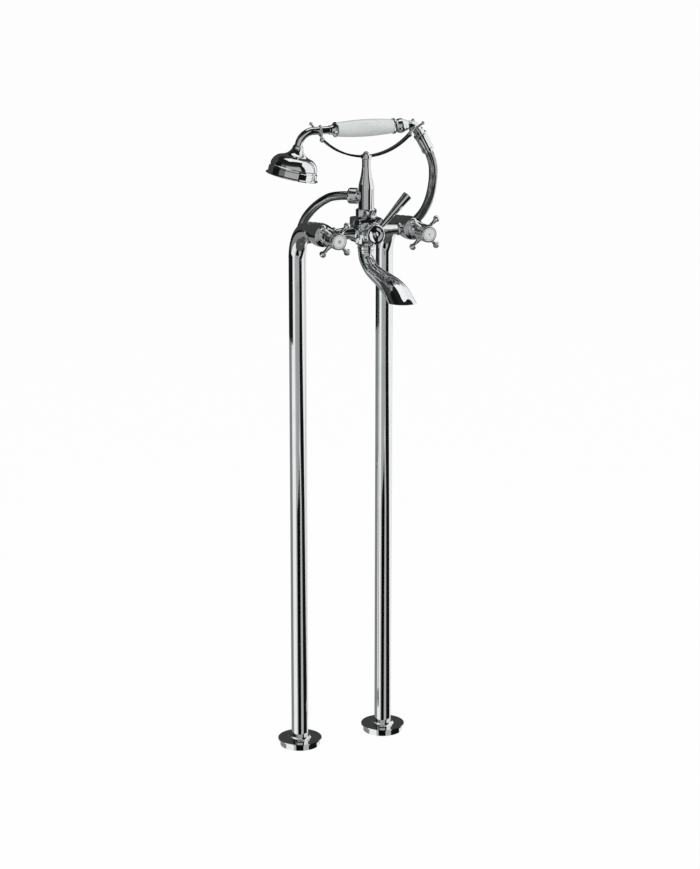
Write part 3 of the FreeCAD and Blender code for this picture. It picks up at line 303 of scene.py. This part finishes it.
def end_material(tree, values, colour, gloss=None, relief=None):
    """Shader of these values and this colour output, joined to the surface. The gloss is a
    texture with the least and most roughness, and the relief a texture with its depth."""
    links = {"Base Color": colour}
    if gloss:
        texture, least, most = gloss
        low, high = GLOSS_SPAN
        share = add_node(tree, "ShaderNodeMapRange",
                         values={"From Min": low, "From Max": high,
                                 "To Min": least, "To Max": most},
                         links={"Value": texture.outputs["Fac"]})
        links["Roughness"] = share.outputs["Result"]
    if relief:
        texture, depth = relief
        bump = add_node(tree, "ShaderNodeBump", values={"Distance": depth, "Strength": 1.0},
                        links={"Height": texture.outputs["Fac"]})
        links["Normal"] = bump.outputs["Normal"]
    shader = add_node(tree, "ShaderNodeBsdfPrincipled", values=values, links=links)
    add_node(tree, "ShaderNodeOutputMaterial", links={"Surface": shader.outputs["BSDF"]})


def set_material(obj, material):
    """Puts one finish on the whole object."""
    slots = obj.data.materials
    if not slots:
        slots.append(material)
    for index in range(len(slots)):
        slots[index] = material


def nodes_in_slot(slot):
    """CAD nodes whose record gives them this finish."""
    rows = frame["record"]["subparts"]
    return [nodes[row["node"]] for row in rows if row.get("material_slot") == slot]


# ---------------------------------------------------------------- materials
def chromed_brass(finish):
    """Bright chromium plate on polished brass: a neutral mirror whose reflections keep sharp
    edges. Wipe marks some 40 mm wide change its roughness a little, and the buffed metal
    under it waves by thousandths of a millimetre every 14 mm or so."""
    material, tree = new_material("chromed_brass_polished")
    wiping = object_noise(tree, 40 * MM, detail=3.0)
    buffing = object_noise(tree, 14 * MM, detail=0.5)
    end_material(tree, {"Metallic": 1.0},
                 colour=two_tone(tree, wiping, finish.chrome_shade, finish.chrome),
                 gloss=(wiping, finish.chrome_roughness * 0.6, finish.chrome_roughness * 1.3),
                 relief=(buffing, 0.004 * MM))
    return material


def chromed_steel_strip_and_seam_shade():
    """Hose cover of wound, chromed steel strip: darker and duller than the cast parts,
    because the strip is plated before it is wound and rubs on itself in patches of some 6 mm,
    and by painted shade: both greys are darkened for the shadow that the seams between its
    turns hold."""
    material, tree = new_material("chromed_steel_strip_wound_and_seam_shade")
    rubbing = object_noise(tree, 6 * MM, detail=3.0)
    end_material(tree, {"Metallic": 1.0},
                 # Both greys are the strip's own duller plate darkened further by painted
                 # shade for the seams between its turns.
                 colour=two_tone(tree, rubbing, "#8F9294", "#ABAEB0"),
                 gloss=(rubbing, 0.05, 0.09))
    return material


def glazed_porcelain(finish):
    """Porcelain under a clear feldspar glaze: white, a touch cooler where the glaze pools
    over some 18 mm, glossy, with the glaze's long shallow waves of about 15 mm."""
    material, tree = new_material("porcelain_white_glazed")
    pooling = object_noise(tree, 18 * MM)
    waves = object_noise(tree, 15 * MM, detail=0.0)
    end_material(tree, {"IOR": 1.5, "Roughness": 0.1, "Subsurface Weight": 0.08,
                        "Subsurface Scale": 4 * MM},
                 colour=two_tone(tree, pooling, "#D3D7D6", finish.glaze),
                 relief=(waves, 0.01 * MM))
    return material


def index_enamel(finish, name, centre, dot):
    """Vitreous enamel index disc, fired on: white, glossy, with a plain printed ring near
    its edge and a plain dot in its middle, which tells the two taps apart by its size."""
    material, tree = new_material(name)
    place = add_node(tree, "ShaderNodeTexCoord")
    flat = add_node(tree, "ShaderNodeMapping",
                    values={"Location": (-centre.x, 0.0, -centre.z),
                            "Scale": (1.0, 0.0, 1.0)},
                    links={"Vector": place.outputs["Object"]})
    distance = add_node(tree, "ShaderNodeVectorMath", settings={"operation": "LENGTH"},
                        links={0: flat.outputs["Vector"]})
    share = add_node(tree, "ShaderNodeMapRange", values={"From Max": INDEX_RADIUS},
                     links={"Value": distance.outputs["Value"]})
    ramp = add_node(tree, "ShaderNodeValToRGB", links={"Fac": share.outputs["Result"]})
    enamel, ink = linear(finish.enamel), linear("#9EA1A2")
    inner, outer = INDEX_RING
    stops = ((0.0, ink), (dot, ink), (dot + INDEX_FADE, enamel),
             (inner - INDEX_FADE, enamel), (inner, ink), (outer, ink),
             (outer + INDEX_FADE, enamel))
    while len(ramp.color_ramp.elements) < len(stops):
        ramp.color_ramp.elements.new(0.5)
    for element, (radius, colour) in zip(ramp.color_ramp.elements, stops):
        element.position = radius / INDEX_RADIUS
        element.color = colour
    firing = object_noise(tree, 4 * MM, detail=1.0)
    end_material(tree, {"IOR": 1.52, "Roughness": 0.12}, colour=ramp.outputs["Color"],
                 relief=(firing, 0.02 * MM))
    return material


def machined_brass():
    """Turned brass: warm yellow metal, with the lathe's fine lines drawn 0.8 mm apart,
    coarser than they are, so that they show."""
    material, tree = new_material("brass_turned")
    tone = object_noise(tree, 10 * MM)
    lines = object_noise(tree, 0.8 * MM, detail=1.0, stretch=(1.0, 0.1, 0.1))
    end_material(tree, {"Metallic": 1.0},
                 colour=two_tone(tree, tone, "#B08D45", "#C9A55A"),
                 gloss=(lines, 0.22, 0.36), relief=(lines, 0.03 * MM))
    return material


def brushed_steel():
    """Stainless steel plate, brushed one way: grey metal with fine streaks about 1 mm
    wide and ten times as long."""
    material, tree = new_material("stainless_steel_brushed")
    streaks = object_noise(tree, 1 * MM, detail=3.0, stretch=(0.1, 1.0, 1.0))
    end_material(tree, {"Metallic": 1.0},
                 colour=two_tone(tree, streaks, "#A9ABAC", "#C2C4C5"),
                 gloss=(streaks, 0.28, 0.42))
    return material


def moulded_plastic(name, dark, light):
    """Injection-moulded acetal: matt satin plastic with a spark-eroded grain of 0.5 mm."""
    material, tree = new_material(name)
    grain = object_noise(tree, 0.5 * MM)
    tone = object_noise(tree, 6 * MM)
    end_material(tree, {"IOR": 1.48}, colour=two_tone(tree, tone, dark, light),
                 gloss=(grain, 0.38, 0.5), relief=(grain, 0.02 * MM))
    return material


def moulded_rubber():
    """Black EPDM rubber, pressed in a mould: nearly black, matt, with a dusty bloom in
    patches of 5 mm over a grain of 0.6 mm."""
    material, tree = new_material("epdm_rubber_moulded")
    bloom = object_noise(tree, 5 * MM, detail=4.0)
    grain = object_noise(tree, 0.6 * MM)
    end_material(tree, {"IOR": 1.52}, colour=two_tone(tree, bloom, "#18191A", "#242526"),
                 gloss=(bloom, 0.55, 0.72), relief=(grain, 0.04 * MM))
    return material


# ---------------------------------------------------------------- geometry helpers
def new_tree(name, sockets):
    """A geometry node tree with inputs of (name, type), and the node that gives them."""
    tree = bpy.data.node_groups.new(name, "GeometryNodeTree")
    tree.interface.new_socket("Geometry", in_out="INPUT", socket_type="NodeSocketGeometry")
    identifiers = {}
    for label, kind in sockets:
        socket = tree.interface.new_socket(label, in_out="INPUT", socket_type=kind)
        identifiers[label] = socket.identifier
    tree.interface.new_socket("Geometry", in_out="OUTPUT", socket_type="NodeSocketGeometry")
    return tree, add_node(tree, "NodeGroupInput"), identifiers


def end_tree(tree, given, geometry):
    """Smooth shading, realised instances and the finish, then the output."""
    real = add_node(tree, "GeometryNodeRealizeInstances", links={"Geometry": geometry})
    smooth = add_node(tree, "GeometryNodeSetShadeSmooth",
                      links={"Geometry": real.outputs["Geometry"]})
    painted = add_node(tree, "GeometryNodeSetMaterial",
                       links={"Geometry": smooth.outputs["Geometry"],
                              "Material": given.outputs["Finish"]})
    add_node(tree, "NodeGroupOutput", links={"Geometry": painted.outputs["Geometry"]})


def from_nodes(name, mesh, tree, identifiers, values):
    """Runs a node tree on a mesh and returns the result as a plain mesh object."""
    source = bpy.data.objects.new(name + "_source", mesh)
    bpy.context.scene.collection.objects.link(source)
    modifier = source.modifiers.new("Nodes", "NODES")
    modifier.node_group = tree
    for label, value in values.items():
        modifier[identifiers[label]] = value
    source.update_tag()
    bpy.context.view_layer.update()
    graph = bpy.context.evaluated_depsgraph_get()
    result = bpy.data.meshes.new_from_object(source.evaluated_get(graph))
    result.name = name
    bpy.data.objects.remove(source)
    if not result.polygons:
        raise RuntimeError(name + " came out empty")
    piece = bpy.data.objects.new(name, result)
    bpy.context.scene.collection.objects.link(piece)
    return piece


def hose_line():
    """The hose's centreline, read from a NURBS spline through the route's control points."""
    curve = bpy.data.curves.new("hose_line", "CURVE")
    curve.dimensions = "3D"
    curve.resolution_u = HOSE_LINE_STEPS
    spline = curve.splines.new("NURBS")
    spline.points.add(len(HOSE_ROUTE) - 1)
    for point, place in zip(spline.points, HOSE_ROUTE):
        point.co = (*place, 1.0)
    spline.order_u = 3
    spline.use_endpoint_u = True
    obj = bpy.data.objects.new("hose_line", curve)
    bpy.context.scene.collection.objects.link(obj)
    bpy.context.view_layer.update()
    graph = bpy.context.evaluated_depsgraph_get()
    line = bpy.data.meshes.new_from_object(obj.evaluated_get(graph))
    bpy.data.objects.remove(obj)
    return line


def hose_tree():
    """Tube of wound strip along a line: a shallow groove between one turn and the next."""
    tree, given, identifiers = new_tree("wound_hose", (
        ("Radius", "NodeSocketFloat"), ("Pitch", "NodeSocketFloat"),
        ("Groove", "NodeSocketFloat"), ("Sides", "NodeSocketInt"),
        ("Finish", "NodeSocketMaterial")))
    line = add_node(tree, "GeometryNodeMeshToCurve",
                    links={"Mesh": given.outputs["Geometry"]})
    step = add_node(tree, "ShaderNodeMath", settings={"operation": "MULTIPLY"},
                    values={1: 1 / STEPS_PER_TURN}, links={0: given.outputs["Pitch"]})
    even = add_node(tree, "GeometryNodeResampleCurve", settings={"mode": "LENGTH"},
                    links={"Curve": line.outputs["Curve"], "Length": step.outputs["Value"]})
    along = add_node(tree, "GeometryNodeSplineParameter")
    turns = add_node(tree, "ShaderNodeMath", settings={"operation": "DIVIDE"},
                     links={0: along.outputs["Length"], 1: given.outputs["Pitch"]})
    angle = add_node(tree, "ShaderNodeMath", settings={"operation": "MULTIPLY"},
                     values={1: 2 * math.pi}, links={0: turns.outputs["Value"]})
    wave = add_node(tree, "ShaderNodeMath", settings={"operation": "COSINE"},
                    links={0: angle.outputs["Value"]})
    depth = add_node(tree, "ShaderNodeMath", settings={"operation": "DIVIDE"},
                     links={0: given.outputs["Groove"], 1: given.outputs["Radius"]})
    half = add_node(tree, "ShaderNodeMath", settings={"operation": "MULTIPLY"},
                    values={1: 0.5}, links={0: depth.outputs["Value"]})
    swell = add_node(tree, "ShaderNodeMath", settings={"operation": "MULTIPLY_ADD"},
                     values={2: 1.0},
                     links={0: wave.outputs["Value"], 1: half.outputs["Value"]})
    scale = add_node(tree, "ShaderNodeMath", settings={"operation": "SUBTRACT"},
                     links={0: swell.outputs["Value"], 1: half.outputs["Value"]})
    section = add_node(tree, "GeometryNodeCurvePrimitiveCircle",
                       links={"Resolution": given.outputs["Sides"],
                              "Radius": given.outputs["Radius"]})
    tube = add_node(tree, "GeometryNodeCurveToMesh", values={"Fill Caps": True},
                    links={"Curve": even.outputs["Curve"],
                           "Profile Curve": section.outputs["Curve"],
                           "Scale": scale.outputs["Value"]})
    end_tree(tree, given, tube.outputs["Mesh"])
    return tree, identifiers


def rim_tree():
    """A small round rim at each point, all turned one way."""
    tree, given, identifiers = new_tree("spray_hole_rims", (
        ("Hole radius", "NodeSocketFloat"), ("Rim radius", "NodeSocketFloat"),
        ("Turn", "NodeSocketRotation"), ("Finish", "NodeSocketMaterial")))
    mean = add_node(tree, "ShaderNodeMath", settings={"operation": "ADD"},
                    links={0: given.outputs["Hole radius"], 1: given.outputs["Rim radius"]})
    path = add_node(tree, "GeometryNodeCurvePrimitiveCircle",
                    values={"Resolution": RIM_STEPS}, links={"Radius": mean.outputs["Value"]})
    section = add_node(tree, "GeometryNodeCurvePrimitiveCircle",
                       values={"Resolution": RIM_SIDES},
                       links={"Radius": given.outputs["Rim radius"]})
    rim = add_node(tree, "GeometryNodeCurveToMesh",
                   links={"Curve": path.outputs["Curve"],
                          "Profile Curve": section.outputs["Curve"]})
    rims = add_node(tree, "GeometryNodeInstanceOnPoints",
                    links={"Points": given.outputs["Geometry"],
                           "Instance": rim.outputs["Mesh"],
                           "Rotation": given.outputs["Turn"]})
    end_tree(tree, given, rims.outputs["Instances"])
    return tree, identifiers


def spray_turn():
    """Turn of the spray plate, from its axis straight up to where it points, out and down."""
    tilt = math.radians(SPRAY_TILT)
    axis = Vector((-math.sin(tilt), 0.0, -math.cos(tilt)))
    level = Vector((0.0, 0.0, 1.0)).rotation_difference(axis)
    return Quaternion((1.0, 0.0, 0.0), math.radians(HANDSET_ROLL)) @ level


def around(heading, distance, height):
    """Point round the stand, its heading counted from the camera's own."""
    angle = math.radians(CAMERA_HEADING + heading)
    return (distance * math.cos(angle), distance * math.sin(angle), height)


def board_mesh(name, edges):
    """Curved upright board whose two edges are given at several heights."""
    points = []
    for height, left, right in edges:
        for n in range(BOARD_STEPS + 1):
            heading = left + (right - left) * n / BOARD_STEPS
            points.append(around(heading, BOARD_DISTANCE, height))
    row = BOARD_STEPS + 1
    faces = []
    for level in range(len(edges) - 1):
        for n in range(BOARD_STEPS):
            first = level * row + n
            faces.append((first, first + 1, first + row + 1, first + row))
    mesh = bpy.data.meshes.new(name)
    mesh.from_pydata(points, [], faces)
    return mesh


def level_mesh(name, low, high, height):
    """Level sheet between its lowest and its highest corner."""
    corners = ((low[0], low[1]), (high[0], low[1]), (high[0], high[1]), (low[0], high[1]))
    mesh = bpy.data.meshes.new(name)
    mesh.from_pydata([(x, y, height) for x, y in corners], [], [(0, 1, 2, 3)])
    return mesh


def stage_object(name, mesh, material):
    """Links a stage piece with its finish."""
    obj = bpy.data.objects.new(name, mesh)
    obj.data.materials.append(material)
    bpy.context.scene.collection.objects.link(obj)
    return obj


def seen_by_eye_or_mirror(tree):
    """1 for rays from the camera, off gloss or through glass, and 0 for those off matt."""
    path = add_node(tree, "ShaderNodeLightPath")
    either = add_node(tree, "ShaderNodeMath", settings={"operation": "MAXIMUM"},
                      links={0: path.outputs["Is Camera Ray"],
                             1: path.outputs["Is Glossy Ray"]})
    every = add_node(tree, "ShaderNodeMath", settings={"operation": "MAXIMUM"},
                     links={0: either.outputs["Value"],
                            1: path.outputs["Is Transmission Ray"]})
    return every.outputs["Value"]


def studio_floor_paint():
    """Pale painted floor, its tone wandering over half a metre. To the eye most of it is
    plain white, and the rest keeps the object's shadow."""
    material, tree = new_material("studio_floor_paint")
    paint = object_noise(tree, 500 * MM)
    matt = add_node(tree, "ShaderNodeBsdfDiffuse",
                    links={"Color": two_tone(tree, paint, "#F6F6F5", "#F8F8F7")})
    white = add_node(tree, "ShaderNodeEmission",
                     values={"Color": linear("#FFFFFF"), "Strength": 1.0})
    share = add_node(tree, "ShaderNodeMath", settings={"operation": "MULTIPLY"},
                     values={1: FLOOR_WHITE_SHARE}, links={0: seen_by_eye_or_mirror(tree)})
    mix = add_node(tree, "ShaderNodeMixShader", links={
        0: share.outputs["Value"], 1: matt.outputs["BSDF"], 2: white.outputs["Emission"]})
    add_node(tree, "ShaderNodeOutputMaterial", links={"Surface": mix.outputs["Shader"]})
    return material


def board_paint(name, light):
    """Even white light of one strength, from a board that is seen only in the chrome."""
    material, tree = new_material(name)
    even = add_node(tree, "ShaderNodeEmission",
                    values={"Color": linear("#FFFFFF"), "Strength": light})
    add_node(tree, "ShaderNodeOutputMaterial", links={"Surface": even.outputs["Emission"]})
    return material


def only_in_mirrors(obj):
    """Hides a stage piece from everything but reflections."""
    obj.visible_camera = False
    obj.visible_diffuse = False
    obj.visible_shadow = False
    obj.visible_transmission = False


def add_lamp(name, place, width, power):
    """Soft square lamp that lights matt surfaces and stays out of the chrome."""
    data = bpy.data.lights.new(name, "AREA")
    data.shape = "SQUARE"
    data.size = width
    data.energy = power
    lamp = bpy.data.objects.new(name, data)
    lamp.location = place
    beam = Vector(LAMP_AIM) - Vector(place)
    lamp.rotation_euler = beam.to_track_quat("-Z", "Y").to_euler()
    lamp.visible_glossy = False
    bpy.context.scene.collection.objects.link(lamp)


# ---------------------------------------------------------------- operators
class BATHFILLER_OT_camera(bpy.types.Operator):
    """Sets the camera where the picture was taken from"""

    bl_idname = "bathfiller.camera"
    bl_label = "Camera"

    def execute(self, context):
        data = bpy.data.cameras.new("picture_camera")
        data.lens = context.scene.bath_filler.studio.lens
        data.sensor_width = SENSOR_WIDTH
        data.clip_end = 100.0
        camera = bpy.data.objects.new("picture_camera", data)
        camera.location = CAMERA_PLACE
        camera.rotation_euler = [math.radians(angle) for angle in CAMERA_TURN]
        context.scene.collection.objects.link(camera)
        context.scene.camera = camera
        return {"FINISHED"}


class BATHFILLER_OT_hose(bpy.types.Operator):
    """Makes the wound shower hose along its route"""

    bl_idname = "bathfiller.hose"
    bl_label = "Shower hose"

    def execute(self, context):
        sizes = context.scene.bath_filler.hose
        line = hose_line()
        tree, identifiers = hose_tree()
        hose = from_nodes("shower_hose", line, tree, identifiers, {
            "Radius": sizes.diameter / 2, "Pitch": sizes.pitch, "Groove": sizes.groove,
            "Sides": sizes.sides, "Finish": chromed_steel_strip_and_seam_shade()})
        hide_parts("hose")
        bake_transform(hose)
        return {"FINISHED"}


class BATHFILLER_OT_chrome(bpy.types.Operator):
    """Gives the plated parts their polished chrome"""

    bl_idname = "bathfiller.chrome"
    bl_label = "Chrome parts"

    def execute(self, context):
        plate = chromed_brass(context.scene.bath_filler.finish)
        for obj in nodes_in_slot("chrome"):
            set_material(obj, plate)
        return {"FINISHED"}


class BATHFILLER_OT_grip(bpy.types.Operator):
    """Glazes the porcelain grip of the handset"""

    bl_idname = "bathfiller.grip"
    bl_label = "Porcelain grip"

    def execute(self, context):
        glaze = glazed_porcelain(context.scene.bath_filler.finish)
        for obj in nodes_in_slot("glazed_ceramic"):
            set_material(obj, glaze)
        return {"FINISHED"}


class BATHFILLER_OT_index_discs(bpy.types.Operator):
    """Enamels the two index discs, with plain marks"""

    bl_idname = "bathfiller.index_discs"
    bl_label = "Index discs"

    def execute(self, context):
        finish = context.scene.bath_filler.finish
        for side, label, dot in INDEX_DOTS:
            node = side + "_index_disc"
            low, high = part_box(node)
            enamel = index_enamel(finish, "enamel_index_" + label, (low + high) / 2, dot)
            set_material(nodes[node], enamel)
        return {"FINISHED"}


class BATHFILLER_OT_inner_parts(bpy.types.Operator):
    """Finishes the brass, steel, plastic and rubber parts"""

    bl_idname = "bathfiller.inner_parts"
    bl_label = "Brass, steel, plastic and rubber"

    def execute(self, context):
        finishes = {
            "brass": machined_brass(),
            "steel": brushed_steel(),
            "cartridge_plastic": moulded_plastic(
                "acetal_cartridge_moulded", "#D9D8D2", "#E6E5E0"),
            "outlet_plastic": moulded_plastic(
                "acetal_outlet_moulded", "#8C8F90", "#9A9D9E"),
            "rubber": moulded_rubber(),
        }
        for slot, material in finishes.items():
            for obj in nodes_in_slot(slot):
                set_material(obj, material)
        return {"FINISHED"}


class BATHFILLER_OT_spray_rims(bpy.types.Operator):
    """Presses a small rim round each hole of the spray plate"""

    bl_idname = "bathfiller.spray_rims"
    bl_label = "Spray hole rims"

    def execute(self, context):
        sizes = context.scene.bath_filler.spray
        low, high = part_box("spray_plate")
        turn = spray_turn()
        face = (low + high) / 2 + turn @ Vector((0.0, 0.0, SPRAY_PLATE_THICKNESS / 2))
        points = []
        for radius, count in SPRAY_RINGS:
            for n in range(count):
                angle = 2 * math.pi * n / count
                flat = Vector((radius * math.cos(angle), radius * math.sin(angle), 0.0)) * MM
                points.append(face + turn @ flat)
        mesh = bpy.data.meshes.new("spray_hole_places")
        mesh.from_pydata([tuple(point) for point in points], [], [])
        tree, identifiers = rim_tree()
        rims = from_nodes("spray_hole_rims", mesh, tree, identifiers, {
            "Hole radius": sizes.hole_radius, "Rim radius": sizes.rim_radius,
            "Turn": turn.to_euler(), "Finish": nodes["spray_plate"].data.materials[0]})
        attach(rims, "handset")
        return {"FINISHED"}


class BATHFILLER_OT_stage(bpy.types.Operator):
    """Makes the floor, the boards that the chrome mirrors, the lamps and the surround"""

    bl_idname = "bathfiller.stage"
    bl_label = "Studio"

    def execute(self, context):
        scene = context.scene
        studio = scene.bath_filler.studio
        half = studio.floor_size / 2
        sheet = level_mesh("studio_floor", (-half, -half), (half, half), 0.0)
        floor = stage_object("studio_floor", sheet, studio_floor_paint())
        floor.visible_glossy = False
        for name, light, edges in BOARDS:
            name = "board_" + name
            board = stage_object(name, board_mesh(name, edges), board_paint(name, light))
            only_in_mirrors(board)
        for name, light, low, high, height in LEVEL_BOARDS:
            sheet = level_mesh(name, low, high, height)
            board = stage_object(name, sheet, board_paint(name, light))
            only_in_mirrors(board)

        add_lamp("key_lamp", KEY_LAMP_PLACE, KEY_LAMP_WIDTH, studio.key_power)
        add_lamp("fill_lamp", FILL_LAMP_PLACE, FILL_LAMP_WIDTH, studio.fill_power)

        world = bpy.data.worlds.new("white_surround")
        world.use_nodes = True
        world.node_tree.nodes.clear()
        tree = world.node_tree
        room = add_node(tree, "ShaderNodeBackground",
                        values={"Color": linear("#FFFFFF"), "Strength": studio.surround})
        plain = add_node(tree, "ShaderNodeBackground",
                         values={"Color": linear("#FFFFFF"), "Strength": 1.0})
        mix = add_node(tree, "ShaderNodeMixShader", links={
            0: seen_by_eye_or_mirror(tree), 1: room.outputs["Background"],
            2: plain.outputs["Background"]})
        add_node(tree, "ShaderNodeOutputWorld", links={"Surface": mix.outputs["Shader"]})
        scene.world = world
        scene.view_settings.view_transform = "Standard"
        return {"FINISHED"}


OPERATORS = (
    BATHFILLER_OT_camera, BATHFILLER_OT_hose, BATHFILLER_OT_chrome, BATHFILLER_OT_grip,
    BATHFILLER_OT_index_discs, BATHFILLER_OT_inner_parts, BATHFILLER_OT_spray_rims,
    BATHFILLER_OT_stage,
)


class BATHFILLER_PT_panel(bpy.types.Panel):
    """Lists the pieces of the bath filler"""

    bl_idname = "BATHFILLER_PT_panel"
    bl_label = "Bath filler"
    bl_space_type = "VIEW_3D"
    bl_region_type = "UI"
    bl_category = "Bath filler"

    def draw(self, context):
        for operator in OPERATORS:
            self.layout.operator(operator.bl_idname)


CLASSES = (FinishSettings, HoseSettings, SpraySettings, StudioSettings, BathFillerSettings,
           *OPERATORS, BATHFILLER_PT_panel)


def register():
    for cls in CLASSES:
        bpy.utils.register_class(cls)
    bpy.types.Scene.bath_filler = PointerProperty(type=BathFillerSettings)


def unregister():
    del bpy.types.Scene.bath_filler
    for cls in reversed(CLASSES):
        bpy.utils.unregister_class(cls)


def main():
    """Makes every piece in order."""
    register()
    bpy.ops.bathfiller.camera()
    bpy.ops.bathfiller.hose()
    bpy.ops.bathfiller.chrome()
    bpy.ops.bathfiller.grip()
    bpy.ops.bathfiller.index_discs()
    bpy.ops.bathfiller.inner_parts()
    bpy.ops.bathfiller.spray_rims()
    bpy.ops.bathfiller.stage()


if __name__ == "__main__":
    main()
